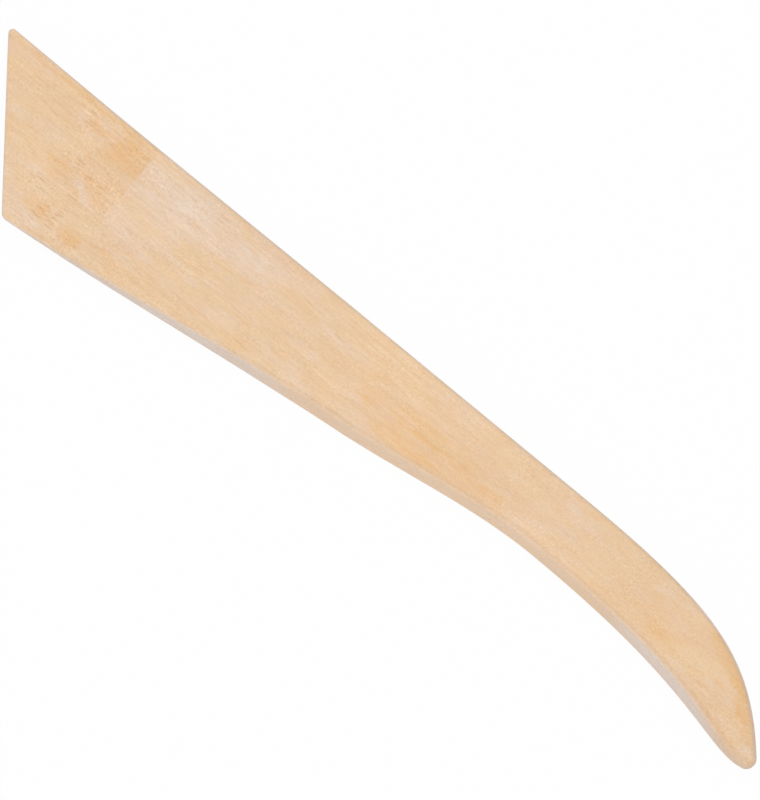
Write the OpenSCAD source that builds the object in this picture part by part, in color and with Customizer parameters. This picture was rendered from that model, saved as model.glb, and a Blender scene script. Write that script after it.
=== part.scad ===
// Potter's wooden modelling tool, shaped from one flat strip of pale hardwood.
// One end is a thin, slanted blade and the other is a hooked, rounded nose.
// The tool lies flat: X runs from the blade to the nose, Y from the shaped edge to the straight
// back, and Z is up. The origin is under the middle of the tool, on the surface it lies on.
// All sizes are in millimetres, and places along the tool are measured from the blade's apex.

/* [Strip] */
// Length over all
length = 203; // [170:1:240]
// Thickness of the planed strip
strip_t = 6.4; // [4.8:0.1:9]
// Round-over along the long edges
edge_r = 1.1; // [0.4:0.1:2]

/* [Blade] */
// Angle between the slanted end and the back, in degrees
slant = 54.4; // [45:0.2:70]
// Width of the blade, from the line of the back to the heel
blade_w = 31.4; // [26:0.2:36]
// How far the back swells out at the apex
flare = 0.8; // [0:0.1:2]
// Thickness along the slanted end
end_t = 1; // [0.6:0.1:1.6]
// Place of the crest, where the thin blade ends and the ramp begins
crest_x = 37.5; // [32:0.5:48]
// Thickness at the crest
crest_t = 3; // [1.8:0.1:4]
// Place where the ramp reaches the full thickness
ramp_x = 84; // [65:1:95]
// Corner radius of the apex, seen from above
apex_r = 0.9; // [0.8:0.1:3]
// Corner radius of the heel, seen from above
heel_r = 1.7; // [1:0.1:4]
// Heading of the lower edge where it leaves the heel, in degrees
heel_deg = 6.2; // [4:0.2:9]

/* [Grip] */
// Place of the shoulder, where the lower edge starts to hollow
shoulder_x = 98.5; // [92:0.5:106]
// Width at the shoulder
shoulder_w = 20.3; // [18.5:0.1:22]
// Heading of the lower edge at the shoulder, in degrees
shoulder_deg = 6.5; // [4:0.5:9]
// Place of the waist, where the tool is narrowest
waist_x = 143.5; // [137:0.5:150]
// Width at the waist
waist_w = 14.4; // [12:0.1:16]

/* [Nose] */
// Place where the back leaves its straight line
bend_x = 144; // [138:0.5:152]
// Drop of the nose's centre below the line of the back
nose_drop = 19.7; // [17:0.1:22]
// Radius of the nose, seen from above
nose_r = 1.8; // [1.5:0.1:2.6]
// Steepness of the back where it meets the nose, in degrees below the length
nose_back_deg = 50; // [40:1:65]
// Rise of the lower edge where it meets the nose, in degrees above the length
nose_rise_deg = 10; // [0:1:20]
// Length over which the nose is thinned
nose_taper = 21; // [12:1:30]
// Thickness at the end of the nose
nose_t = 3.8; // [2.4:0.1:5]
// Round-over of the nose's edges
nose_edge_r = 1.6; // [1:0.1:2]

/* [Hidden] */
wood = "burlywood";

// Reach of the hook's curves along their headings: at the bend, the waist and the nose
bend_reach = 33;
waist_reach = 42.5;
nose_back_reach = 20.5;
nose_low_reach = 8;

// Steps along each stretch, which both long edges share
corner_steps = 6;
blade_steps = 8;
ramp_steps = 10;
grip_steps = 22;
hook_steps = 34;
nose_steps = 9;
// Steps across the faces and up each round-over
across_steps = 6;
round_steps = 5;
// Share of its own thickness by which a thin edge may be rounded
soft_share = 0.45;
// Share of the nose's radius by which its edges may be rounded
nose_share = 0.85;
// Width of the strip that is sawn away outside the outline
saw_waste = 2;

// Unit vector at an angle, in the plan
function heading(deg) = [cos(deg), sin(deg)];

// Points of an arc, with both its ends
function arc(centre, r, from, to, steps) = [
    for (i = [0 : steps]) centre + r * heading(from + (to - from) * i / steps)
];

// Arc that rounds the corner p, between an edge that heads in and one that turns right and out
function corner(p, r, deg_in, deg_out) =
    let (start = p - heading(deg_in) * r * tan((deg_in - deg_out) / 2))
    arc(start + r * heading(deg_in - 90), r, deg_in + 90, deg_out + 90, corner_steps);

// Points of a smooth curve from a to d with handles b and c, without its first point
function curve(a, b, c, d, steps) = [
    for (i = [1 : steps])
        let (t = i / steps, s = 1 - t)
        s * s * s * a + 3 * s * s * t * b + 3 * s * t * t * c + t * t * t * d
];

// Height at x of the smooth curve that leaves a and reaches b with these slopes
function bow(a, b, slope_a, slope_b, x) =
    let (run = b.x - a.x, t = (x - a.x) / run, s = 1 - t)
    s * s * (1 + 2 * t) * a.y + t * t * (1 + 2 * s) * b.y
    + s * t * run * (s * slope_a - t * slope_b);

// The line of the back is y = 0. The apex's sharp corner stands out past its rounded end.
apex = [apex_r * (1 - 1 / tan(slant / 2)), flare];
heel = apex + heading(-slant) * (blade_w + flare) / sin(slant);
shoulder = [shoulder_x, -shoulder_w];
waist = [waist_x, -waist_w];
bend = [bend_x, 0];
nose_centre = [length - nose_r, -nose_drop];
nose_top = nose_centre + nose_r * heading(90 - nose_back_deg);
nose_low = nose_centre + nose_r * heading(nose_rise_deg - 90);
nose_end_deg = (nose_rise_deg - nose_back_deg) / 2;

apex_arc = corner(apex, apex_r, 180 - slant, -atan2(flare, ramp_x - apex.x));
heel_arc = corner(heel, heel_r, 180 + heel_deg, 180 - slant);
heel_out = heel_arc[0];

// The two long edges up to the bend and the waist
function back_y(x) = flare * max(0, ramp_x - x) / (ramp_x - apex.x);
function lower_y(x) = x < shoulder_x
    ? bow(heel_out, shoulder, tan(heel_deg), tan(shoulder_deg), x)
    : bow(shoulder, waist, tan(shoulder_deg), 0, x);

// Places between a and b, without a
function places(a, b, steps) = [for (i = [1 : steps]) a + (b - a) * i / steps];

// Both long edges from the slanted end to the end of the nose, with the same count of points
back_x = concat(
    places(apex_arc[corner_steps].x, crest_x, blade_steps),
    places(crest_x, ramp_x, ramp_steps),
    places(ramp_x, bend_x, grip_steps)
);
lower_x = concat(
    places(heel_out.x, crest_x, blade_steps),
    places(crest_x, ramp_x, ramp_steps),
    places(ramp_x, waist_x, grip_steps)
);
back_edge = concat(
    apex_arc,
    [for (x = back_x) [x, back_y(x)]],
    curve(
        bend,
        bend + [bend_reach, 0],
        nose_top - heading(-nose_back_deg) * nose_back_reach,
        nose_top,
        hook_steps
    ),
    [
        for (deg = places(90 - nose_back_deg, nose_end_deg, nose_steps))
            nose_centre + nose_r * heading(deg)
    ]
);
lower_edge = concat(
    [for (i = [corner_steps : -1 : 0]) heel_arc[i]],
    [for (x = lower_x) [x, lower_y(x)]],
    curve(
        waist,
        waist + [waist_reach, 0],
        nose_low - heading(nose_rise_deg) * nose_low_reach,
        nose_low,
        hook_steps
    ),
    [
        for (deg = places(nose_rise_deg - 90, nose_end_deg, nose_steps))
            nose_centre + nose_r * heading(deg)
    ]
);
last = len(back_edge) - 1;

// The outline as one loop, clockwise from above: slanted end, back, nose and lower edge
outline = concat(
    [
        for (i = [1 : across_steps - 1])
            lower_edge[0] + (back_edge[0] - lower_edge[0]) * i / across_steps
    ],
    back_edge,
    [for (i = [last - 1 : -1 : 0]) lower_edge[i]]
);
loop_n = len(outline);
plan_min = [min([for (p = outline) p.x]), min([for (p = outline) p.y])];
plan_max = [max([for (p = outline) p.x]), max([for (p = outline) p.y])];

// Thickness of the wood at a point of the plan
function blade_t(p) =
    let (end_x = apex.x + (flare - p.y) / tan(slant))
    end_t + (crest_t - end_t) * max(0, p.x - end_x) / (crest_x - end_x);
function ramp_t(x) =
    crest_t + (strip_t - crest_t) * min(1, (x - crest_x) / (ramp_x - crest_x));
function nose_cut(x) =
    (strip_t - nose_t) * pow(max(0, x - length + nose_taper) / nose_taper, 2);
function thickness(p) = (p.x < crest_x ? blade_t(p) : ramp_t(p.x)) - nose_cut(p.x);

// Round-over at a point of the outline: it changes along the hook, and is less on thin wood
nose_round = min(nose_edge_r, nose_share * nose_r);
function round_over(p) =
    let (t = min(1, max(0, (p.x - bend_x) / (length - bend_x))))
    min(edge_r + (nose_round - edge_r) * t * t * (3 - 2 * t), soft_share * thickness(p));

// Point i of the outline, moved into the wood by a share of its round-over
function inset(i, share) =
    let (
        p = outline[i],
        step = outline[(i + 1) % loop_n] - outline[(i + loop_n - 1) % loop_n]
    )
    p + round_over(p) * share * [step.y, -step.x] / norm(step);

// Ring of points round the tool, where its round-over has turned so far from upright
function ring(turn, side) = [
    for (i = [0 : loop_n - 1])
        let (p = inset(i, 1 - cos(turn)), r = round_over(outline[i]))
        [p.x, p.y, side * (thickness(p) / 2 - r * (1 - sin(turn)))]
];

// Places in the loop of the points of the slanted end, the back and the lower edge
function end_at(j) = j - 1;
function back_at(i) = across_steps - 1 + i;
function lower_at(i) = loop_n - 1 - i;

// Points inside a face, on lines from the lower edge to the back
function face_points(side) = [
    for (i = [1 : last - 1], j = [1 : across_steps - 1])
        let (
            a = inset(lower_at(i), 1),
            p = a + (inset(back_at(i), 1) - a) * j / across_steps
        )
        [p.x, p.y, side * thickness(p) / 2]
];

rings_n = 2 * (round_steps + 1);
under_start = rings_n * loop_n;
upper_start = under_start + (last - 1) * (across_steps - 1);

// Place in the list of all points of a face's point: step i along the tool, step j across
function face_at(i, j, ring_start, inner_start) =
    i == last ? ring_start + back_at(last)
    : j == 0 ? ring_start + lower_at(i)
    : j == across_steps ? ring_start + back_at(i)
    : i == 0 ? ring_start + end_at(j)
    : inner_start + (i - 1) * (across_steps - 1) + j - 1;

// Two triangles, with their points clockwise from outside
function quad(a, b, c, d) = [[a, b, c], [a, c, d]];

// Triangles of a face: the last row closes on the end of the nose
function face_tiles(ring_start, inner_start) = [
    for (i = [0 : last - 1], j = [0 : across_steps - 1])
        let (
            a = face_at(i, j, ring_start, inner_start),
            b = face_at(i, j + 1, ring_start, inner_start),
            c = face_at(i + 1, j + 1, ring_start, inner_start),
            d = face_at(i + 1, j, ring_start, inner_start)
        )
        each (i == last - 1 ? [[a, b, c]] : quad(a, b, c, d))
];
function turned_over(tiles) = [for (t = tiles) [t[0], t[2], t[1]]];

// The shaped wood: tapered blade, grip and nose, with all edges rounded
module shaped_wood() {
    turns = places(0, 90, round_steps);
    rings = concat(
        [for (i = [round_steps - 1 : -1 : 0]) ring(turns[i], -1)],
        [ring(0, -1), ring(0, 1)],
        [for (turn = turns) ring(turn, 1)]
    );
    sides = [
        for (k = [0 : rings_n - 2], i = [0 : loop_n - 1])
            let (low = k * loop_n, high = low + loop_n, next = (i + 1) % loop_n)
            each quad(low + i, low + next, high + next, high + i)
    ];
    polyhedron(
        points = concat([for (r = rings) each r], face_points(-1), face_points(1)),
        faces = concat(
            sides,
            turned_over(face_tiles(0, under_start)),
            face_tiles((rings_n - 1) * loop_n, upper_start)
        )
    );
}

// The planed strip that the tool is shaped from, which gives it its two flat faces
module strip() {
    size = plan_max - plan_min + 2 * [saw_waste, saw_waste];
    translate([plan_min.x - saw_waste, plan_min.y - saw_waste, -strip_t / 2])
        cube([size.x, size.y, strip_t]);
}

module wooden_tool() {
    middle = (plan_min + plan_max) / 2;
    color(wood)
        translate([-middle.x, -middle.y, strip_t / 2])
            intersection() {
                strip();
                shaped_wood();
            }
}

wooden_tool();
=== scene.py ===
"""A potter's wooden modelling tool: a slanted blade, a grip and a hooked nose, of one strip.

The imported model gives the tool's box and place. The wood is modelled here again from the same
sizes with finer curves, dressed as bare sanded hardwood and lit as on a white studio table.
Lengths are in metres, or in millimetres where a class says so. Angles are in degrees, and
colours are sRGB values from 0 to 255.
"""

import logging
import math
from dataclasses import dataclass, field
from enum import Enum

import bmesh
import bpy
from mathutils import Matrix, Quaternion, Vector

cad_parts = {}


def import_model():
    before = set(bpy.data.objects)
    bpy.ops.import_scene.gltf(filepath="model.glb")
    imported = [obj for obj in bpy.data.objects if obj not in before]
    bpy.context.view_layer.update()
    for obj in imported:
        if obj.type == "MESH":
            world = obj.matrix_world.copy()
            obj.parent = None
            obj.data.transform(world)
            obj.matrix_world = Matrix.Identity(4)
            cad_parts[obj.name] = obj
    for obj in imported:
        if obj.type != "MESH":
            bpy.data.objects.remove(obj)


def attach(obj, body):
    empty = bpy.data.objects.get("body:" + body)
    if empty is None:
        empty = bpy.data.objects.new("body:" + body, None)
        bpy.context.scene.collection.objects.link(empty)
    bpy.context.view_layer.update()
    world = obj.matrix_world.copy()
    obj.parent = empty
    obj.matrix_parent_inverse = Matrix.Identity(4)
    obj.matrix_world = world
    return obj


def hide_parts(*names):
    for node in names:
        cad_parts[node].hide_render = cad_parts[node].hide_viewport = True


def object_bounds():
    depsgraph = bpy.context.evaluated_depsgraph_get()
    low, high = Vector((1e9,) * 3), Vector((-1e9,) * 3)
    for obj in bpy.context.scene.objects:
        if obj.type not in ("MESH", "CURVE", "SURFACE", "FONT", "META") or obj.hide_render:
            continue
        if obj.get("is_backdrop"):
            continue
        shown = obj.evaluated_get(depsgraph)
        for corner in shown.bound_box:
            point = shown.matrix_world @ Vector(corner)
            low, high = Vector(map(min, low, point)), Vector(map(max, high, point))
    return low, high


LOG = logging.getLogger("wooden_tool")
MM = 0.001
CAD_NODE = "wooden_tool"
BODY = "root"
SLOT = "pale_hardwood"
# Where a Mix node keeps its share and its two colours, and where it puts the mixed one.
MIX_INPUTS = (0, 6, 7)
MIX_OUTPUT = 2

Socket = bpy.types.NodeSocket
Srgb = tuple[float, float, float]
Sizes3 = tuple[float, float, float]
Span = tuple[float, float]
Colour = tuple[float, float, float, float]


def linear(colour: Srgb) -> Colour:
    """Turns an sRGB colour into the linear one that a shader takes.

    Args:
        colour: Red, green and blue from 0 to 255.

    Returns:
        Linear red, green, blue and an alpha of 1.
    """
    shares = [value / 255 for value in colour]
    low_end = 0.04045
    turned = [s / 12.92 if s <= low_end else ((s + 0.055) / 1.055) ** 2.4 for s in shares]
    return (turned[0], turned[1], turned[2], 1.0)


def grey(level: float) -> Colour:
    """A linear grey, or white at 1."""
    return (level, level, level, 1.0)


def heading(deg: float) -> Vector:
    """Unit vector at an angle in the plan."""
    return Vector((math.cos(math.radians(deg)), math.sin(math.radians(deg))))


def smooth(share: float) -> float:
    """Eases a share from 0 to 1, level at both ends and held to that range."""
    held = min(1.0, max(0.0, share))
    return held * held * (3 - 2 * held)


def spread(start: float, end: float, steps: int) -> list[float]:
    """Even places from start to end, without the start."""
    return [start + (end - start) * step / steps for step in range(1, steps + 1)]


def arc(centre: Vector, radius: float, start: float, end: float, steps: int) -> list[Vector]:
    """Points of an arc between two angles, with both its ends."""
    return [centre + radius * heading(deg) for deg in [start, *spread(start, end, steps)]]


def bezier(handles: tuple[Vector, Vector, Vector, Vector], steps: int) -> list[Vector]:
    """Points of a cubic curve, without its first point.

    Args:
        handles: The start, the two handles and the end.
        steps: How many points the curve is given.

    Returns:
        The points in order.
    """
    a, b, c, d = handles
    points = []
    for t in spread(0, 1, steps):
        s = 1 - t
        points.append(s**3 * a + 3 * s * s * t * b + 3 * s * t * t * c + t**3 * d)
    return points


def bow(a: Vector, b: Vector, slope_a: float, slope_b: float, x: float) -> float:
    """Height at x of the smooth curve that leaves a and reaches b with the two slopes.

    Args:
        a: Where the curve starts.
        b: Where it ends.
        slope_a: Its rise along x at its start.
        slope_b: Its rise along x at its end.
        x: The place between the two.

    Returns:
        The height, y.
    """
    run = b.x - a.x
    t = (x - a.x) / run
    s = 1 - t
    ends = s * s * (1 + 2 * t) * a.y + t * t * (1 + 2 * s) * b.y
    return ends + s * t * run * (s * slope_a - t * slope_b)


def work_on(piece: bpy.types.Object) -> None:
    """Makes one object the only selected and the active one.

    Args:
        piece: The object.
    """
    if bpy.context.object and bpy.context.object.mode != "OBJECT":
        bpy.ops.object.mode_set(mode="OBJECT")
    bpy.ops.object.select_all(action="DESELECT")
    piece.select_set(True)
    bpy.context.view_layer.objects.active = piece


def apply_modifier(piece: bpy.types.Object, kind: str, **settings: object) -> None:
    """Adds a modifier, sets it up and applies it.

    Args:
        piece: The object that gets it.
        kind: The modifier's type, such as "MIRROR".
        settings: The modifier's properties by name.
    """
    work_on(piece)
    modifier = piece.modifiers.new(kind.title(), kind)
    for name, value in settings.items():
        setattr(modifier, name, value)
    bpy.ops.object.modifier_apply(modifier=modifier.name)


@dataclass(frozen=True)
class ToolSizes:
    """The sawn and sanded strip. Places along it are measured from the blade's apex.

    On thin wood a round-over takes no more than the thin share of the thickness.
    """

    length: float
    thickness: float
    edge_round: float = 1.1 * MM
    thin_share: float = 0.45
    # The slanted end, from the apex on the back down to the heel on the lower edge.
    slant: float = 54.4
    blade_width: float = 31.4 * MM
    flare: float = 0.8 * MM
    apex_radius: float = 0.9 * MM
    heel_radius: float = 1.7 * MM
    heel_heading: float = 6.2
    # The thin blade up to its crest, and the ramp from there to the full thickness.
    end_thickness: float = 1.0 * MM
    crest: float = 37.5 * MM
    crest_thickness: float = 3.0 * MM
    ramp_end: float = 84.0 * MM
    # The lower edge, over the shoulder and in to the waist.
    shoulder: float = 98.5 * MM
    shoulder_width: float = 20.3 * MM
    shoulder_heading: float = 6.5
    waist: float = 143.5 * MM
    waist_width: float = 14.4 * MM
    # The hook, whose curves leave the waist and the back with the given reaches.
    waist_reach: float = 42.5 * MM
    bend: float = 144.0 * MM
    bend_reach: float = 33.0 * MM
    # The round end of the nose, and how the two curves come in to it.
    nose_drop: float = 19.7 * MM
    nose_radius: float = 1.8 * MM
    nose_back_fall: float = 50.0
    nose_back_reach: float = 20.5 * MM
    nose_low_rise: float = 10.0
    nose_low_reach: float = 8.0 * MM
    nose_taper: float = 21.0 * MM
    nose_thickness: float = 3.8 * MM
    nose_round: float = 1.53 * MM


@dataclass(frozen=True)
class GridSteps:
    """How finely the tool is divided along, across and round its edges.

    The soft break is how far the rows by the crest and the ramp's end lie from those lines, and
    the nose's share is how much of its arc belongs to the end of the grid.
    """

    corner: int = 6
    blade: int = 16
    crest: int = 2
    ramp: int = 20
    grip: int = 32
    hook: int = 52
    nose_side: int = 4
    across: int = 10
    round_over: int = 6
    soft_break: float = 0.7 * MM
    nose_share: float = 0.5


@dataclass
class Outline:
    """The tool seen from above, as two long edges, the slanted end and the end of the nose.

    The line of the straight back is y = 0, and x runs from the blade to the nose.
    """

    sizes: ToolSizes
    steps: GridSteps
    apex: Vector = field(init=False)
    heel: Vector = field(init=False)
    apex_arc: list[Vector] = field(init=False)
    heel_arc: list[Vector] = field(init=False)
    nose_centre: Vector = field(init=False)
    nose_top_deg: float = field(init=False)
    nose_low_deg: float = field(init=False)
    back: list[Vector] = field(init=False)
    lower: list[Vector] = field(init=False)
    nose: list[Vector] = field(init=False)

    def __post_init__(self) -> None:
        """Works out the corners and then the stretches between them from the sizes."""
        s = self.sizes
        set_in = s.apex_radius * (1 - 1 / math.tan(math.radians(s.slant / 2)))
        self.apex = Vector((set_in, s.flare))
        slanted = (s.blade_width + s.flare) / math.sin(math.radians(s.slant))
        self.heel = self.apex + heading(-s.slant) * slanted
        fall = math.degrees(math.atan2(s.flare, s.ramp_end - self.apex.x))
        self.apex_arc = self._corner(self.apex, s.apex_radius, 180 - s.slant, -fall)
        turned = self._corner(self.heel, s.heel_radius, 180 + s.heel_heading, 180 - s.slant)
        self.heel_arc = turned[::-1]
        self.nose_centre = Vector((s.length - s.nose_radius, -s.nose_drop))
        self.nose_top_deg = 90 - s.nose_back_fall
        self.nose_low_deg = s.nose_low_rise - 90
        middle = (self.nose_top_deg + self.nose_low_deg) / 2
        half = (self.nose_top_deg - self.nose_low_deg) / 2 * self.steps.nose_share
        self.back = self._back_edge(middle + half)
        self.lower = self._lower_edge(middle - half)
        self.nose = arc(
            self.nose_centre, s.nose_radius, middle - half, middle + half, self.steps.across
        )

    def back_height(self, x: float) -> float:
        """Height of the straight back, which swells out a little towards the apex."""
        s = self.sizes
        return s.flare * max(0.0, s.ramp_end - x) / (s.ramp_end - self.apex.x)

    def lower_height(self, x: float) -> float:
        """Height of the lower edge between the heel and the waist.

        Args:
            x: The place along the tool.

        Returns:
            The height, which is below nought.
        """
        s = self.sizes
        shoulder = Vector((s.shoulder, -s.shoulder_width))
        rise = math.tan(math.radians(s.shoulder_heading))
        if x < s.shoulder:
            start = math.tan(math.radians(s.heel_heading))
            return bow(self.heel_arc[-1], shoulder, start, rise, x)
        return bow(shoulder, Vector((s.waist, -s.waist_width)), rise, 0.0, x)

    def loop(self) -> list[Vector]:
        """The whole outline, clockwise from the lower corner of the slanted end.

        Returns:
            Its points, each of them once.
        """
        across = self.steps.across
        foot, top = self.lower[0], self.back[0]
        end = [foot + (top - foot) * j / across for j in range(across)]
        nose = self.nose[-2:0:-1]
        return [*end, *self.back, *nose, *reversed(self.lower[1:])]

    def centre(self) -> Vector:
        """Middle of the outline's box.

        Returns:
            The point in the plan.
        """
        points = self.loop()
        xs, ys = [p.x for p in points], [p.y for p in points]
        return Vector(((min(xs) + max(xs)) / 2, (min(ys) + max(ys)) / 2))

    def _corner(self, p: Vector, radius: float, deg_in: float, deg_out: float) -> list[Vector]:
        """Arc that rounds a corner between an edge that heads in and one that turns right.

        Args:
            p: The sharp corner.
            radius: The arc's radius.
            deg_in: The heading of the first edge.
            deg_out: The heading of the second edge.

        Returns:
            The arc's points.
        """
        back_off = radius * math.tan(math.radians((deg_in - deg_out) / 2))
        start = p - heading(deg_in) * back_off
        centre = start + radius * heading(deg_in - 90)
        return arc(centre, radius, deg_in + 90, deg_out + 90, self.steps.corner)

    def _stations(self, start: float, last: float) -> list[float]:
        """Places along a long edge up to the hook, closer by the crest and the ramp's end.

        Args:
            start: Where the corner's arc ends.
            last: Where the hook's curve begins.

        Returns:
            The places, without the start.
        """
        s, n, soft = self.sizes, self.steps, self.steps.soft_break
        return [
            *spread(start, s.crest - soft, n.blade),
            *spread(s.crest - soft, s.crest + soft, n.crest),
            *spread(s.crest + soft, s.ramp_end - soft, n.ramp),
            *spread(s.ramp_end - soft, s.ramp_end + soft, n.crest),
            *spread(s.ramp_end + soft, last, n.grip),
        ]

    def _back_edge(self, nose_deg: float) -> list[Vector]:
        """The apex's corner, the straight back and the convex side of the hook.

        Args:
            nose_deg: Where the edge ends on the nose's arc.

        Returns:
            Its points, from the blade to the nose.
        """
        s, n = self.sizes, self.steps
        places = self._stations(self.apex_arc[-1].x, s.bend)
        straight = [Vector((x, self.back_height(x))) for x in places]
        bend = Vector((s.bend, 0.0))
        top = self.nose_centre + s.nose_radius * heading(self.nose_top_deg)
        approach = top - heading(-s.nose_back_fall) * s.nose_back_reach
        hook = bezier((bend, bend + Vector((s.bend_reach, 0.0)), approach, top), n.hook)
        side = arc(self.nose_centre, s.nose_radius, self.nose_top_deg, nose_deg, n.nose_side)
        return [*self.apex_arc, *straight, *hook, *side[1:]]

    def _lower_edge(self, nose_deg: float) -> list[Vector]:
        """The heel's corner, the shoulder, the waist and the hollow side of the hook.

        Args:
            nose_deg: Where the edge ends on the nose's arc.

        Returns:
            Its points, from the blade to the nose.
        """
        s, n = self.sizes, self.steps
        places = self._stations(self.heel_arc[-1].x, s.waist)
        straight = [Vector((x, self.lower_height(x))) for x in places]
        waist = Vector((s.waist, -s.waist_width))
        low = self.nose_centre + s.nose_radius * heading(self.nose_low_deg)
        approach = low - heading(s.nose_low_rise) * s.nose_low_reach
        hook = bezier((waist, waist + Vector((s.waist_reach, 0.0)), approach, low), n.hook)
        side = arc(self.nose_centre, s.nose_radius, self.nose_low_deg, nose_deg, n.nose_side)
        return [*self.heel_arc, *straight, *hook, *side[1:]]


@dataclass
class WoodenTool:
    """The one piece of the tool: a planed strip, sawn, tapered, rounded over and sanded."""

    sizes: ToolSizes
    steps: GridSteps = field(default_factory=GridSteps)
    name: str = "shaped_wood"
    bulge_columns: int = 10
    place_layer: str = "outline_place"
    merge_gap: float = 0.005 * MM
    outline: Outline = field(init=False)
    loop: list[Vector] = field(init=False)
    inward: list[Vector] = field(init=False)
    centre: Vector = field(init=False)
    columns: int = field(init=False)

    def __post_init__(self) -> None:
        """Draws the outline and finds the way into the wood at each of its points."""
        self.outline = Outline(self.sizes, self.steps)
        self.loop = self.outline.loop()
        self.centre = self.outline.centre()
        self.columns = len(self.outline.back) - 1
        count = len(self.loop)
        self.inward = []
        for place in range(count):
            step = self.loop[(place + 1) % count] - self.loop[place - 1]
            self.inward.append(Vector((step.y, -step.x)).normalized())

    def thickness_at(self, p: Vector) -> float:
        """Thickness of the wood at a point of the plan.

        Args:
            p: The point.

        Returns:
            The full thickness, from face to face.
        """
        s = self.sizes
        if p.x < s.crest:
            end_x = self.outline.apex.x + (s.flare - p.y) / math.tan(math.radians(s.slant))
            share = max(0.0, p.x - end_x) / (s.crest - end_x)
            wood = s.end_thickness + (s.crest_thickness - s.end_thickness) * share
        else:
            share = min(1.0, (p.x - s.crest) / (s.ramp_end - s.crest))
            wood = s.crest_thickness + (s.thickness - s.crest_thickness) * share
        along_nose = max(0.0, p.x - s.length + s.nose_taper) / s.nose_taper
        return wood - (s.thickness - s.nose_thickness) * along_nose**2

    def round_at(self, p: Vector) -> float:
        """Radius of the round-over at a point of the outline, less on thin wood.

        Args:
            p: The point.

        Returns:
            The radius.
        """
        s = self.sizes
        hooked = smooth((p.x - s.bend) / (s.length - s.bend))
        radius = s.edge_round + (s.nose_round - s.edge_round) * hooked
        return min(radius, s.thin_share * self.thickness_at(p))

    def edge_point(self, place: int, turn: float) -> Vector:
        """Point of the upper round-over.

        Args:
            place: The point of the outline that it belongs to.
            turn: How far the surface has turned from upright, from 0 to 90 degrees.

        Returns:
            The point, with z measured from the middle of the strip.
        """
        p = self.loop[place % len(self.loop)]
        radius = self.round_at(p)
        rise = math.sin(math.radians(turn))
        away = radius * (1 - math.cos(math.radians(turn)))
        moved = p + away * self.inward[place % len(self.loop)]
        z = self.thickness_at(moved) / 2 - radius * (1 - rise)
        return Vector((moved.x, moved.y, z))

    def place_of(self, i: int, j: int) -> int:
        """Place in the outline of a point on the rim of the face's grid.

        Args:
            i: The point's column, along the tool from the blade.
            j: The point's row, across it from the lower edge.

        Returns:
            The place, counted from the lower corner of the slanted end.
        """
        across, columns = self.steps.across, self.columns
        if i == 0:
            return j
        if j == across:
            return across + i
        if i == columns:
            return across + columns + (across - j)
        return len(self.loop) - i

    def face_point(self, i: int, j: int) -> Vector:
        """Point of the upper face, at column i along the tool and row j across it.

        Args:
            i: Its column, from the blade.
            j: Its row, from the lower edge.

        Returns:
            The point, with z measured from the middle of the strip.
        """
        across = self.steps.across
        if i in (0, self.columns) or j in (0, across):
            return self.edge_point(self.place_of(i, j), 90)
        low = self.edge_point(self.place_of(i, 0), 90)
        high = self.edge_point(self.place_of(i, across), 90)
        share = j / across
        flat = low.lerp(high, share)
        left = self.columns - i
        if left < self.bulge_columns:
            nose_low = self.edge_point(self.place_of(self.columns, 0), 90)
            nose_high = self.edge_point(self.place_of(self.columns, across), 90)
            end = self.edge_point(self.place_of(self.columns, j), 90)
            bulge = end - nose_low.lerp(nose_high, share)
            flat += bulge * (1 - left / self.bulge_columns)
        return Vector((flat.x, flat.y, self.thickness_at(flat.to_2d()) / 2))

    def build(self, wood: bpy.types.Material) -> bpy.types.Object:
        """Models the tool in its place and gives it its finish.

        Args:
            wood: The finish of the whole piece.

        Returns:
            The finished object, at the origin, with its place in its mesh.
        """
        piece = self._lay_out_face()
        self._roll_the_edge(piece)
        self._close_and_seat(piece)
        piece.data.materials.append(wood)
        return piece

    def _lay_out_face(self) -> bpy.types.Object:
        """Adds a grid and draws it out to the upper face, inside the round-over.

        Returns:
            The face as a new object.
        """
        bpy.ops.object.select_all(action="DESELECT")
        bpy.ops.mesh.primitive_grid_add(
            x_subdivisions=self.columns, y_subdivisions=self.steps.across, size=1
        )
        piece = bpy.context.object
        piece.name = piece.data.name = self.name
        places = piece.data.attributes.new(self.place_layer, "INT", "POINT")
        for vertex in piece.data.vertices:
            i = round((vertex.co.x + 0.5) * self.columns)
            j = round((vertex.co.y + 0.5) * self.steps.across)
            places.data[vertex.index].value = self.place_of(i, j)
            vertex.co = self.face_point(i, j)
        return piece

    def _roll_the_edge(self, piece: bpy.types.Object) -> None:
        """Extrudes the rim of the face ring by ring, over the edge and down to mid-thickness.

        Args:
            piece: The face.
        """
        work_on(piece)
        bpy.ops.object.mode_set(mode="EDIT")
        bpy.ops.mesh.select_mode(type="EDGE")
        bpy.ops.mesh.select_all(action="DESELECT")
        bpy.ops.mesh.select_non_manifold(
            use_wire=False, use_multi_face=False, use_non_contiguous=False, use_verts=False
        )
        turns = [90 - turn for turn in spread(0, 90, self.steps.round_over)]
        for turn in turns:
            self._extrude_ring(piece, turn, level=None)
        self._extrude_ring(piece, 0, level=0.0)
        bpy.ops.object.mode_set(mode="OBJECT")

    def _extrude_ring(self, piece: bpy.types.Object, turn: float, level: float | None) -> None:
        """Extrudes the selected rim once and sets the new ring where the edge has turned so far.

        Args:
            piece: The face, in edit mode.
            turn: How far the surface has turned from upright, in degrees.
            level: The ring's height, or None for the height of the round-over.
        """
        bpy.ops.mesh.extrude_edges_move()
        shape = bmesh.from_edit_mesh(piece.data)
        layer = shape.verts.layers.int[self.place_layer]
        for vertex in shape.verts:
            if vertex.select:
                vertex.co = self.edge_point(vertex[layer], turn)
                if level is not None:
                    vertex.co.z = level
        bmesh.update_edit_mesh(piece.data)

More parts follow.
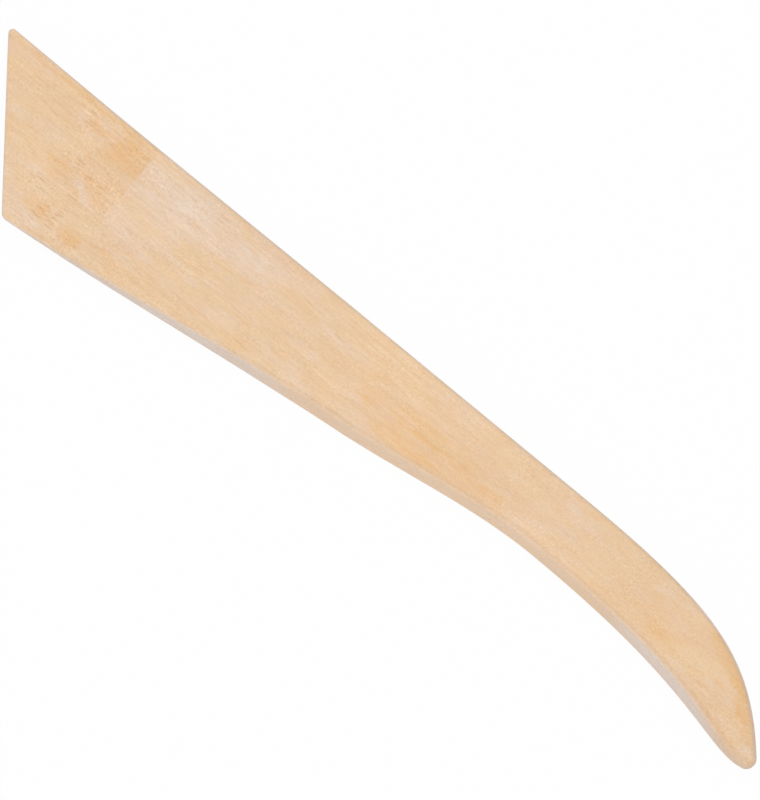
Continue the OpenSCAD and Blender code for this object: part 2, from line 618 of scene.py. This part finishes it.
    def _close_and_seat(self, piece: bpy.types.Object) -> None:
        """Mirrors the upper half, smooths the whole and sets it on the surface it lies on.

        Args:
            piece: The upper half, open at mid-thickness.
        """
        apply_modifier(
            piece,
            "MIRROR",
            use_axis=(False, False, True),
            use_clip=True,
            merge_threshold=self.merge_gap,
        )
        apply_modifier(piece, "SUBSURF", levels=1, render_levels=1)
        piece.data.attributes.remove(piece.data.attributes[self.place_layer])
        work_on(piece)
        piece.location = (-self.centre.x, -self.centre.y, self.sizes.thickness / 2)
        bpy.ops.object.transform_apply(location=True, rotation=True, scale=True)
        bpy.ops.object.mode_set(mode="EDIT")
        bpy.ops.mesh.select_all(action="SELECT")
        bpy.ops.mesh.normals_make_consistent(inside=False)
        bpy.ops.object.mode_set(mode="OBJECT")
        bpy.ops.object.shade_smooth()


class Side(Enum):
    """The part of the tool that a patch of tone keeps to."""

    BLADE = "blade"
    GRIP = "grip"
    BOTH = "both"


@dataclass(frozen=True)
class TonePatch:
    """A soft patch in the wood, in millimetres along the tool from the apex and below the back."""

    along: float
    below: float
    length: float
    width: float
    tone: float
    side: Side = Side.BOTH
    turn: float = 0.0
    under: bool = False


@dataclass(frozen=True)
class Mottle:
    """Noise in the wood: the size of its features in millimetres, its finer layers, its swing."""

    size: Sizes3
    detail: float = 1.0
    swing: float = 1.0


@dataclass(frozen=True)
class Flecks:
    """Separate flecks: a cell in millimetres, the share of cells that hold one, and its reach.

    The reach is in cells. A fleck is whole up to the solid share of it, and fades from there.
    """

    cell: Sizes3
    share: float
    reach: float
    solid: float = 0.4


@dataclass(frozen=True)
class Ease:
    """A range that a value runs through, and the two values that it is eased between."""

    source: Span
    target: Span = (0.0, 1.0)


@dataclass
class Shading:
    """Short ways to add and join the nodes of one tree."""

    tree: bpy.types.NodeTree

    def node(self, kind: str, **settings: object) -> bpy.types.Node:
        """Adds a node and sets its properties by name.

        Args:
            kind: The end of its type's name, such as "Math".
            settings: Its properties.

        Returns:
            The new node.
        """
        made = self.tree.nodes.new("ShaderNode" + kind)
        for name, value in settings.items():
            setattr(made, name, value)
        return made

    def feed(self, socket: Socket, value: object) -> None:
        """Joins a socket to another one, or sets its plain value.

        Args:
            socket: The input.
            value: An output to join to it, or a plain value.
        """
        if isinstance(value, bpy.types.NodeSocket):
            self.tree.links.new(value, socket)
        else:
            socket.default_value = value

    def maths(self, operation: str, *values: object) -> Socket:
        """Adds a maths node.

        Args:
            operation: Its name, such as "MULTIPLY_ADD".
            values: Its numbers or sockets, in order.

        Returns:
            The result's socket.
        """
        made = self.node("Math", operation=operation)
        for socket, value in zip(made.inputs, values):
            self.feed(socket, value)
        return made.outputs[0]

    def vector_maths(self, operation: str, *values: object) -> Socket:
        """Adds a vector maths node.

        Args:
            operation: Its name, such as "MULTIPLY".
            values: Its vectors or sockets, in order.

        Returns:
            The result's socket: a number for a length or a dot product, or else a vector.
        """
        made = self.node("VectorMath", operation=operation)
        for socket, value in zip(made.inputs, values):
            self.feed(socket, value)
        is_number = operation in ("LENGTH", "DOT_PRODUCT")
        return made.outputs["Value" if is_number else "Vector"]

    def axis(self, vector: Socket, name: str) -> Socket:
        """One part of a vector, by its axis.

        Args:
            vector: The vector's socket.
            name: The axis, such as "X".

        Returns:
            The socket of that part.
        """
        parted = self.node("SeparateXYZ")
        self.feed(parted.inputs[0], vector)
        return parted.outputs[name]

    def remap(self, value: Socket, ease: Ease) -> Socket:
        """Eases a value from one range into another and holds it there.

        Args:
            value: The socket that is read.
            ease: The two ranges.

        Returns:
            The eased value's socket.
        """
        made = self.node("MapRange", interpolation_type="SMOOTHSTEP")
        self.feed(made.inputs["Value"], value)
        names = ("From Min", "From Max", "To Min", "To Max")
        for name, number in zip(names, (*ease.source, *ease.target)):
            made.inputs[name].default_value = number
        return made.outputs["Result"]

    def blend(self, share: object, first: object, second: object) -> Socket:
        """Mixes two colours.

        Args:
            share: How much of the second colour there is, held to 0 to 1.
            first: A socket or a linear colour.
            second: A socket or a linear colour.

        Returns:
            The mixed colour's socket.
        """
        made = self.node("Mix", data_type="RGBA")
        for number, value in zip(MIX_INPUTS, (share, first, second)):
            self.feed(made.inputs[number], value)
        return made.outputs[MIX_OUTPUT]


@dataclass
class WoodShading(Shading):
    """The wood's tree, with what its patterns read and the patterns themselves.

    They read the place on the tool, how far along the tool that is from its middle, the way
    that the surface faces, and its level: 1 on the flat faces and 0 on an upright side.
    """

    place: Socket = field(init=False)
    facing: Socket = field(init=False)
    x: Socket = field(init=False)
    level: Socket = field(init=False)

    def __post_init__(self) -> None:
        """Adds the coordinates."""
        coordinates = self.node("TexCoord")
        self.place = coordinates.outputs["Object"]
        self.facing = coordinates.outputs["Normal"]
        self.x = self.axis(self.place, "X")
        self.level = self.maths("ABSOLUTE", self.axis(self.facing, "Z"))

    def stretch(self, size: Sizes3) -> Socket:
        """The place on the tool, measured in features of the given size in millimetres.

        Args:
            size: The size of a feature along each axis.

        Returns:
            The stretched coordinates.
        """
        scaled = self.node("Mapping", vector_type="POINT")
        self.feed(scaled.inputs["Vector"], self.place)
        scaled.inputs["Scale"].default_value = [1 / (length * MM) for length in size]
        return scaled.outputs[0]

    def noise_node(self, mottle: Mottle) -> bpy.types.Node:
        """Adds noise with features of the mottle's size, without its swing.

        Args:
            mottle: The size and detail of the noise.

        Returns:
            The noise node.
        """
        made = self.node("TexNoise")
        self.feed(made.inputs["Vector"], self.stretch(mottle.size))
        made.inputs["Scale"].default_value = 1.0
        made.inputs["Detail"].default_value = mottle.detail
        return made

    def noise(self, mottle: Mottle) -> Socket:
        """Adds noise that swings to both sides of nought."""
        value = self.noise_node(mottle).outputs["Fac"]
        return self.maths("MULTIPLY_ADD", value, 2 * mottle.swing, -mottle.swing)

    def flecks(self, kind: Flecks) -> Socket:
        """Adds small, separate flecks, at most one to a cell.

        Args:
            kind: How large and how many they are.

        Returns:
            A socket that is 1 inside a fleck and 0 outside.
        """
        cells = self.node("TexVoronoi")
        self.feed(cells.inputs["Vector"], self.stretch(kind.cell))
        cells.inputs["Scale"].default_value = 1.0
        parted = self.node("SeparateColor")
        self.feed(parted.inputs[0], cells.outputs["Color"])
        chosen = self.maths("GREATER_THAN", parted.outputs[0], 1 - kind.share)
        soft_edge = Ease((kind.solid * kind.reach, kind.reach), (1.0, 0.0))
        return self.maths("MULTIPLY", chosen, self.remap(cells.outputs["Distance"], soft_edge))


@dataclass(frozen=True)
class WoodColours:
    """Colours of the wood, those of the painted shade and painted reflection at its edges and
    sides, and how its light and dark fibres lean from red to blue.
    """

    rosy: Srgb = (233, 198, 164)
    golden: Srgb = (235, 200, 158)
    pale: Srgb = (235, 211, 189)
    bright: Srgb = (244, 226, 204)
    amber: Srgb = (232, 187, 134)
    umber: Srgb = (206, 150, 98)
    brown: Srgb = (150, 98, 60)
    # Painted shade on the back and front round-overs, and the sides' colours of painted shade and
    # painted reflection of the white table.
    back_rim_shade: Srgb = (203, 190, 182)
    front_rim_shade: Srgb = (212, 180, 150)
    painted_side_pale: Srgb = (230, 214, 203)
    painted_side_plain: Srgb = (237, 206, 174)
    fibre_tint: Sizes3 = (0.78, 0.95, 1.25)


@dataclass(frozen=True)
class WoodGrain:
    """The patterns of the planed face.

    First come those of its tone and hue, then its patches, rays and pores, and then the light
    and dark of its fibres, which changes towards the hook over a range from the tool's middle.
    """

    cloud: Mottle = Mottle((30.0, 8.0, 8.0), swing=0.25)
    blot: Mottle = Mottle((6.5, 2.4, 2.4), swing=0.5)
    streak: Mottle = Mottle((2.4, 1.2, 1.2), detail=0.0, swing=0.24)
    hue: Mottle = Mottle((16.0, 4.0, 4.0))
    hue_range: Ease = Ease((-0.6, 0.6))
    wander: Mottle = Mottle((4.0, 2.5, 2.5), detail=3.0)
    wander_reach: Sizes3 = (8 * MM, 4 * MM, 4 * MM)
    patch_fade: Span = (0.3, 1.1)
    patch_depth: float = 5 * MM
    rays: Flecks = Flecks((2.2, 1.0, 1.0), share=0.35, reach=0.3)
    ray_strength: float = 0.14
    pores: Flecks = Flecks((3.4, 1.9, 1.9), share=0.06, reach=0.09)
    pore_strength: float = 0.25
    fibre: Mottle = Mottle((0.6, 0.38, 0.38), detail=2.0)
    fibre_strength: float = 0.185
    patchy: Mottle = Mottle((9.0, 4.0, 4.0))
    unevenness: Ease = Ease((-0.25, 0.25), (0.65, 1.3))
    long_line: Mottle = Mottle((6.0, 0.55, 0.55), swing=0.11)
    broad: Mottle = Mottle((22.0, 9.0, 9.0), swing=0.05)
    hook_range: Ease = Ease((5 * MM, 50 * MM))
    hook_fibre_gain: float = 0.02
    hook_line_loss: float = 0.5


@dataclass(frozen=True)
class TornGrain:
    """The short fibres that coarse sanding has raised and torn, most on the blade.

    Its places are measured from the blade's apex.
    """

    crest_soft: float = 0.2 * MM
    start: float = 17 * MM
    full: float = 25 * MM
    fibre_gain: float = 0.045
    cluster: Mottle = Mottle((8.0, 3.0, 3.0))
    cluster_range: Ease = Ease((-0.05, 0.3))
    plain_share: float = 0.2
    torn_share: float = 0.3
    dark: Flecks = Flecks((3.2, 0.45, 0.45), share=0.5, reach=0.45)
    raised: Flecks = Flecks((3.6, 0.5, 0.5), share=0.5, reach=0.45)


@dataclass(frozen=True)
class PaintedLight:
    """Painted shade on the round-overs, painted shade and painted reflection of the white table on
    the sides, and painted light on the middle of the grip.

    Places along the tool are measured from its middle.
    """

    # Painted shade on the round-over that faces the back, away from the front lamp.
    back_way: Sizes3 = (0.5, 0.87, 0.0)
    back_rim: Ease = Ease((0.05, 0.6), (0.0, 0.45))
    # Painted shade on the near round-over, from the ramp on to the nose.
    front_way: Sizes3 = (0.0, -1.0, 0.0)
    front_rim: Ease = Ease((0.06, 0.3), (0.0, 0.35))
    front_start: Ease = Ease((-50 * MM, -20 * MM))
    # The sides: painted shade and painted reflection of the white table, greyer and bluer than the
    # faces, paler by the blade and the nose and weaker at the tip.
    steep: Ease = Ease((0.85, 0.45))
    upright: Ease = Ease((0.5, 0.05), (0.35, 1.0))
    painted_side_share: float = 0.9
    painted_side_cloud: Mottle = Mottle((14.0, 4.0, 1.5), detail=2.0, swing=0.6)
    pale_blade: Ease = Ease((-34 * MM, -8 * MM), (1.0, 0.0))
    pale_nose: Ease = Ease((58 * MM, 72 * MM))
    plain_tip: Ease = Ease((86 * MM, 97 * MM), (1.0, 0.5))
    # Painted light: the grip is made a little brighter around its middle.
    lit_middle: float = 12 * MM
    painted_middle_light: Ease = Ease((16 * MM, 48 * MM), (0.032, 0.0))


@dataclass(frozen=True)
class PaleHardwood:
    """Bare, finely sanded pale hardwood, with its grain along the tool, and with painted shade,
    reflection and light at its edges, on its sides and on the middle of its grip.
    """

    tool: WoodenTool
    colours: WoodColours = WoodColours()
    grain: WoodGrain = WoodGrain()
    torn: TornGrain = TornGrain()
    # Painted shade on the round-overs, painted shade and reflection on the sides, painted light on
    # the grip's middle.
    painted_light: PaintedLight = PaintedLight()
    roughness: float = 0.55
    roughness_swing: float = 0.12
    specular: float = 0.5
    relief: float = 0.25
    relief_depth: float = 0.05 * MM

    def build(self, patches: list[TonePatch]) -> bpy.types.Material:
        """Makes the material.

        Args:
            patches: The soft patches of paler and deeper wood.

        Returns:
            The finished material.
        """
        material = bpy.data.materials.new(SLOT)
        material.use_nodes = True
        material.node_tree.nodes.clear()
        s = WoodShading(material.node_tree)
        blade, torn = self._zones(s)
        fibre = s.noise(self.grain.fibre)
        face = self._tear(s, torn, self._colour(s, self._tone(s, blade, patches)))
        edges_painted = self._paint_edges_and_sides(s, face)
        shader = s.node("BsdfPrincipled")
        shader.inputs["Specular IOR Level"].default_value = self.specular
        shaded = s.vector_maths("MULTIPLY", edges_painted, self._light(s, fibre, torn))
        s.feed(shader.inputs["Base Color"], shaded)
        rough = s.maths("MULTIPLY_ADD", fibre, self.roughness_swing, self.roughness)
        s.feed(shader.inputs["Roughness"], rough)
        bump = s.node("Bump")
        bump.inputs["Strength"].default_value = self.relief
        bump.inputs["Distance"].default_value = self.relief_depth
        s.feed(bump.inputs["Height"], fibre)
        s.feed(shader.inputs["Normal"], bump.outputs[0])
        output = s.node("OutputMaterial")
        s.feed(output.inputs["Surface"], shader.outputs[0])
        return material

    def _zones(self, s: WoodShading) -> tuple[Socket, Socket]:
        """Where the blade is, and where its grain is torn by the coarse sanding at the crest.

        Args:
            s: The wood's tree.

        Returns:
            Two shares, each 1 inside its zone and 0 outside.
        """
        middle, soft = self.tool.centre.x, self.torn.crest_soft
        line = self.tool.sizes.crest - middle
        blade = s.remap(s.x, Ease((line - soft, line + soft), (1.0, 0.0)))
        tearing = s.remap(s.x, Ease((self.torn.start - middle, self.torn.full - middle)))
        return blade, s.maths("MULTIPLY", blade, tearing)

    def _tone(self, s: WoodShading, blade: Socket, patches: list[TonePatch]) -> Socket:
        """Tone of the wood: nought is plain, below is paler and above is more amber.

        Args:
            s: The wood's tree.
            blade: One on the blade and nought on the grip.
            patches: The soft patches of paler and deeper wood.

        Returns:
            The tone's socket.
        """
        cloud = s.noise(self.grain.cloud)
        blot = s.noise(self.grain.blot)
        streak = s.noise(self.grain.streak)
        tone = s.maths("ADD", s.maths("ADD", cloud, blot), streak)
        grip = s.maths("SUBTRACT", 1.0, blade)
        warped = self._warp(s)
        for patch in patches:
            added = self._patch(s, warped, patch)
            if patch.side is Side.BLADE:
                added = s.maths("MULTIPLY", added, blade)
            elif patch.side is Side.GRIP:
                added = s.maths("MULTIPLY", added, grip)
            tone = s.maths("ADD", tone, added)
        return tone

    def _warp(self, s: WoodShading) -> Socket:
        """Coordinates that wander a little, for patches with uneven edges.

        Args:
            s: The wood's tree.

        Returns:
            The coordinates' socket.
        """
        noise = s.noise_node(self.grain.wander).outputs["Color"]
        centred = s.vector_maths("SUBTRACT", noise, (0.5, 0.5, 0.5))
        return s.vector_maths("MULTIPLY_ADD", centred, self.grain.wander_reach, s.place)

    def _patch(self, s: WoodShading, place: Socket, patch: TonePatch) -> Socket:
        """One soft patch, strongest at its middle on the face that it lies in.

        Args:
            s: The wood's tree.
            place: The coordinates that it reads.
            patch: Where it lies, and its tone.

        Returns:
            What the patch adds to the tone.
        """
        plan = Vector((patch.along * MM, -patch.below * MM))
        rise = self.tool.thickness_at(plan) / 2
        z = self.tool.sizes.thickness / 2 + (-rise if patch.under else rise)
        centre = (plan.x - self.tool.centre.x, plan.y - self.tool.centre.y, z)
        reach = (patch.length * MM / 2, patch.width * MM / 2, self.grain.patch_depth)
        lie = s.node("Mapping", vector_type="TEXTURE")
        s.feed(lie.inputs["Vector"], place)
        lie.inputs["Location"].default_value = centre
        lie.inputs["Rotation"].default_value = (0.0, 0.0, math.radians(patch.turn))
        lie.inputs["Scale"].default_value = reach
        far = s.vector_maths("LENGTH", lie.outputs[0])
        return s.remap(far, Ease(self.grain.patch_fade, (patch.tone, 0.0)))

    def _colour(self, s: WoodShading, tone: Socket) -> Socket:
        """Colour of the planed face, with its tiny pores and pale rays.

        Args:
            s: The wood's tree.
            tone: The tone of the wood.

        Returns:
            The colour's socket.
        """
        colours, grain = self.colours, self.grain
        hue = s.remap(s.noise(grain.hue), grain.hue_range)
        plain = s.blend(hue, linear(colours.rosy), linear(colours.golden))
        deep = s.blend(tone, plain, linear(colours.amber))
        light = s.blend(s.maths("MULTIPLY", tone, -1.0), deep, linear(colours.pale))
        rays = s.maths("MULTIPLY", s.flecks(grain.rays), grain.ray_strength)
        rayed = s.blend(rays, light, linear(colours.pale))
        pores = s.maths("MULTIPLY", s.flecks(grain.pores), grain.pore_strength)
        return s.blend(pores, rayed, linear(colours.brown))

    def _tear(self, s: WoodShading, torn: Socket, face: Socket) -> Socket:
        """Adds clusters of short raised fibres, bright and dark, most where the grain is torn.

        Args:
            s: The wood's tree.
            torn: One where the grain is torn most, and nought away from the blade.
            face: The colour that the fibres lie on.

        Returns:
            The colour with the fibres.
        """
        grain = self.torn
        cluster = s.remap(s.noise(grain.cluster), grain.cluster_range)
        most = s.maths("MULTIPLY_ADD", torn, grain.torn_share, grain.plain_share)
        share = s.maths("MULTIPLY", cluster, most)
        dark = s.maths("MULTIPLY", s.flecks(grain.dark), share)
        streaked = s.blend(dark, face, linear(self.colours.umber))
        raised = s.maths("MULTIPLY", s.flecks(grain.raised), share)
        return s.blend(raised, streaked, linear(self.colours.bright))

    def _paint_edges_and_sides(self, s: WoodShading, face: Socket) -> Socket:
        """Adds painted shade on the round-overs, and painted shade and painted reflection of the
        white table on the sides.

        Args:
            s: The wood's tree.
            face: The colour of the planed faces.

        Returns:
            The colour of the whole surface.
        """
        colours, painted_light = self.colours, self.painted_light
        # Painted shade on the back round-over, where it faces away from the front lamp.
        back = s.vector_maths("DOT_PRODUCT", s.facing, painted_light.back_way)
        back_rim_shade = s.blend(s.remap(back, painted_light.back_rim), face, linear(colours.back_rim_shade))
        # Painted shade on the near round-over, from the ramp on.
        front = s.vector_maths("DOT_PRODUCT", s.facing, painted_light.front_way)
        lip = s.maths("MULTIPLY", s.remap(front, painted_light.front_rim), s.remap(s.x, painted_light.front_start))
        front_rim_shade = s.blend(lip, back_rim_shade, linear(colours.front_rim_shade))
        # The sides: painted shade and painted reflection of the white table.
        tip = s.remap(s.x, painted_light.plain_tip)
        ends = s.maths("ADD", s.remap(s.x, painted_light.pale_blade), s.remap(s.x, painted_light.pale_nose))
        clear = s.maths("MULTIPLY", tip, s.remap(s.level, painted_light.upright))
        pale = s.maths("MULTIPLY_ADD", ends, clear, s.noise(painted_light.painted_side_cloud))
        painted_side = s.blend(pale, linear(colours.painted_side_plain), linear(colours.painted_side_pale))
        steep = s.remap(s.level, painted_light.steep)
        share = s.maths("MULTIPLY", steep, s.maths("MULTIPLY", tip, painted_light.painted_side_share))
        return s.blend(share, front_rim_shade, painted_side)

    def _light(self, s: WoodShading, fibre: Socket, torn: Socket) -> Socket:
        """How much lighter or darker the wood is, fibre by fibre, in red, green and blue, with
        painted light that brightens the middle of the grip.

        Args:
            s: The wood's tree.
            fibre: The noise of the single fibres.
            torn: One where the grain is torn most, and nought away from the blade.

        Returns:
            A factor for each of the three.
        """
        grain, painted_light = self.grain, self.painted_light
        hooked = s.remap(s.x, grain.hook_range)
        plain = s.maths("MULTIPLY_ADD", hooked, grain.hook_fibre_gain, grain.fibre_strength)
        strength = s.maths("MULTIPLY_ADD", torn, self.torn.fibre_gain, plain)
        uneven = s.remap(s.noise(grain.patchy), grain.unevenness)
        swing = s.maths("MULTIPLY", uneven, strength)
        kept = s.maths("MULTIPLY_ADD", hooked, -grain.hook_line_loss, 1.0)
        lines = s.maths("MULTIPLY", s.noise(grain.long_line), kept)
        # Painted light: a little brighter around the middle of the grip.
        off = s.maths("ABSOLUTE", s.maths("SUBTRACT", s.x, painted_light.lit_middle))
        middle_light = s.remap(off, painted_light.painted_middle_light)
        broad = s.noise(grain.broad)
        wide = s.maths("ADD", s.maths("ADD", lines, broad), middle_light)
        change = s.maths("MULTIPLY_ADD", fibre, swing, wide)
        return s.vector_maths("MULTIPLY_ADD", change, self.colours.fibre_tint, (1.0, 1.0, 1.0))


TOOL_PATCHES = [
    # The blade: a deeper, more amber back, which is partly painted shade along its round-over,
    # deeper wood before the crest, and one pale streak.
    TonePatch(20.0, 0.9, 52.0, 1.8, 0.6, Side.BLADE),
    TonePatch(25.8, 4.9, 6.5, 4.0, 0.8, Side.BLADE),
    TonePatch(34.2, 4.7, 14.0, 9.0, 0.6, Side.BLADE),
    TonePatch(27.0, 25.2, 8.5, 4.4, 0.7, Side.BLADE),
    TonePatch(34.8, 26.4, 7.0, 5.0, 0.8, Side.BLADE),
    TonePatch(32.0, 12.0, 20.0, 28.0, 0.12, Side.BLADE),
    TonePatch(33.5, 10.0, 12.0, 22.0, 0.25, Side.BLADE),
    TonePatch(31.5, 17.6, 9.0, 2.6, -0.7, Side.BLADE, -35.0),
    # The ramp beyond the crest: the pale zone, and deeper wood below it.
    TonePatch(44.0, 11.0, 26.0, 28.0, -0.25, Side.GRIP),
    TonePatch(55.0, 6.0, 44.0, 13.0, -0.4, Side.GRIP),
    TonePatch(51.0, 4.6, 12.0, 6.0, -0.3, Side.GRIP),
    TonePatch(67.5, 5.5, 16.0, 3.4, -0.4, Side.GRIP),
    TonePatch(68.0, 19.5, 14.0, 4.0, -0.2, Side.GRIP),
    TonePatch(56.0, 21.6, 36.0, 0.9, 0.45, Side.GRIP),
    TonePatch(45.0, 25.0, 15.0, 4.0, 0.4, Side.GRIP),
    TonePatch(81.6, 17.9, 7.0, 3.0, 0.35, Side.GRIP),
    TonePatch(71.9, 22.1, 6.0, 2.0, 0.35, Side.GRIP),
    # The middle of the grip, with its long amber streaks.
    TonePatch(115.0, 12.5, 58.0, 16.0, 0.42, Side.GRIP),
    TonePatch(99.2, 13.7, 5.0, 2.0, 0.4),
    TonePatch(115.0, 12.2, 40.0, 1.9, 0.45),
    TonePatch(113.5, 12.3, 7.0, 2.0, 0.35),
    TonePatch(112.0, 16.8, 22.0, 3.4, 0.5),
    TonePatch(130.5, 12.3, 7.0, 2.2, 0.45),
    # The waist and the start of the hook.
    TonePatch(143.5, 3.2, 5.0, 2.4, -0.5),
    TonePatch(164.0, 10.0, 70.0, 22.0, 0.14),
    TonePatch(138.7, 13.0, 5.0, 2.2, -0.2),
    TonePatch(167.3, 5.3, 6.0, 2.4, -0.4),
    TonePatch(171.0, 12.0, 9.0, 3.6, 0.25),
    # The nose: deeper along its edges, partly the wood's amber and partly painted shade on its
    # rounded edges, and pale at its tip.
    TonePatch(186.4, 7.2, 20.0, 4.2, 0.8, turn=-27.0),
    TonePatch(194.8, 13.0, 18.0, 4.2, 0.8, turn=-39.0),
    TonePatch(186.2, 13.2, 4.0, 2.4, -0.35),
    TonePatch(200.2, 19.3, 4.0, 3.4, -0.35),
    TonePatch(190.5, 19.2, 28.0, 1.6, 0.45, turn=-15.0),
    # The underside.
    TonePatch(60.0, 14.0, 30.0, 8.0, 0.5, under=True),
    TonePatch(120.0, 7.0, 40.0, 6.0, -0.5, under=True),
    TonePatch(24.0, 16.0, 9.0, 6.0, 0.6, under=True),
]


@dataclass(frozen=True)
class Lamp:
    """A soft square lamp, aimed at the tool."""

    name: str
    place: Vector
    width: float
    power: float

    def build(self) -> None:
        """Adds the lamp, out of the camera's sight."""
        bpy.ops.object.light_add(type="AREA", location=self.place)
        lamp = bpy.context.object
        lamp.name = self.name
        lamp.data.size = self.width
        lamp.data.energy = self.power
        lamp.rotation_euler = (-self.place).to_track_quat("-Z", "Y").to_euler()
        lamp.visible_camera = False


STUDIO_LAMPS = (
    Lamp("overhead_lamp", place=Vector((-0.1, 0.0, 1.4)), width=1.0, power=7.1),
    Lamp("front_lamp", place=Vector((0.1, -1.35, 0.5)), width=0.8, power=2.5),
)


@dataclass(frozen=True)
class Studio:
    """A white table under soft lamps, and the camera that looks down at the tool."""

    aim: Vector = field(default_factory=lambda: Vector((0.08 * MM, 4.77 * MM, 3.2 * MM)))
    elevation: float = 68.0
    roll: float = 39.5
    distance: float = 5.0
    picture_height: float = 155.8 * MM
    sensor: float = 36.0
    sight: float = 50.0
    table_width: float = 8.0
    table_white: float = 0.85
    table_glow: float = 0.97
    sky: float = 0.6

    def build(self) -> None:
        """Sets up the table, the lamps, the sky and the camera."""
        self._table()
        for lamp in STUDIO_LAMPS:
            lamp.build()
        self._sky()
        self._camera()
        bpy.context.scene.view_settings.view_transform = "Standard"

    def _seen(self, s: Shading) -> Socket:
        """One where the background is looked at, straight, mirrored or through glass.

        Args:
            s: The tree of the table or of the sky.

        Returns:
            The socket of that share.
        """
        rays = s.node("LightPath").outputs
        direct = s.maths("MAXIMUM", rays["Is Camera Ray"], rays["Is Glossy Ray"])
        return s.maths("MAXIMUM", direct, rays["Is Transmission Ray"])

    def _table(self) -> None:
        """Adds the table that the tool lies on, seen as white but for the tool's soft shadow."""
        bpy.ops.mesh.primitive_plane_add(size=self.table_width, location=(0, 0, 0))
        table = bpy.context.object
        table.name = "white_table"
        table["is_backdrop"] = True
        material = bpy.data.materials.new("white_table")
        material.use_nodes = True
        material.node_tree.nodes.clear()
        s = Shading(material.node_tree)
        matt = s.node("BsdfDiffuse")
        matt.inputs["Color"].default_value = grey(self.table_white)
        glow = s.node("Emission")
        both = s.node("MixShader")
        s.feed(both.inputs[0], s.maths("MULTIPLY", self._seen(s), self.table_glow))
        s.feed(both.inputs[1], matt.outputs[0])
        s.feed(both.inputs[2], glow.outputs[0])
        output = s.node("OutputMaterial")
        s.feed(output.inputs["Surface"], both.outputs[0])
        table.data.materials.append(material)

    def _sky(self) -> None:
        """Makes the even white light from all round, seen as plain white."""
        world = bpy.data.worlds.new("studio_sky")
        bpy.context.scene.world = world
        world.use_nodes = True
        world.node_tree.nodes.clear()
        s = Shading(world.node_tree)
        back = s.node("Background")
        back.inputs["Color"].default_value = grey(1.0)
        strength = s.maths("MULTIPLY_ADD", self._seen(s), 1.0 - self.sky, self.sky)
        s.feed(back.inputs["Strength"], strength)
        output = s.node("OutputWorld")
        s.feed(output.inputs["Surface"], back.outputs[0])

    def _camera(self) -> None:
        """Adds the long lens that looks steeply down, turned so that the tool lies aslant."""
        height = math.radians(self.elevation)
        toward = Vector((0.0, -math.cos(height), math.sin(height)))
        bpy.ops.object.camera_add(location=self.aim + toward * self.distance)
        camera = bpy.context.object
        camera.name = "studio_camera"
        camera.data.sensor_width = self.sensor
        camera.data.lens = self.sensor * self.distance / self.picture_height
        camera.data.clip_end = self.sight
        level = (-toward).to_track_quat("-Z", "Y")
        turned = level @ Quaternion((0, 0, 1), math.radians(self.roll))
        camera.rotation_euler = turned.to_euler()
        bpy.context.scene.camera = camera


def main() -> None:
    """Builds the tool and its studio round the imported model."""
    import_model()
    cad_low, cad_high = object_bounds()
    cad_size = cad_high - cad_low
    tool = WoodenTool(ToolSizes(length=203 * MM, thickness=cad_size.z))
    piece = tool.build(PaleHardwood(tool).build(TOOL_PATCHES))
    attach(piece, BODY)
    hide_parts(CAD_NODE)
    LOG.info("%s: %d faces", piece.name, len(piece.data.polygons))
    Studio().build()


if __name__ == "__main__":
    logging.basicConfig(level=logging.INFO, format="%(name)s: %(message)s")
    main()
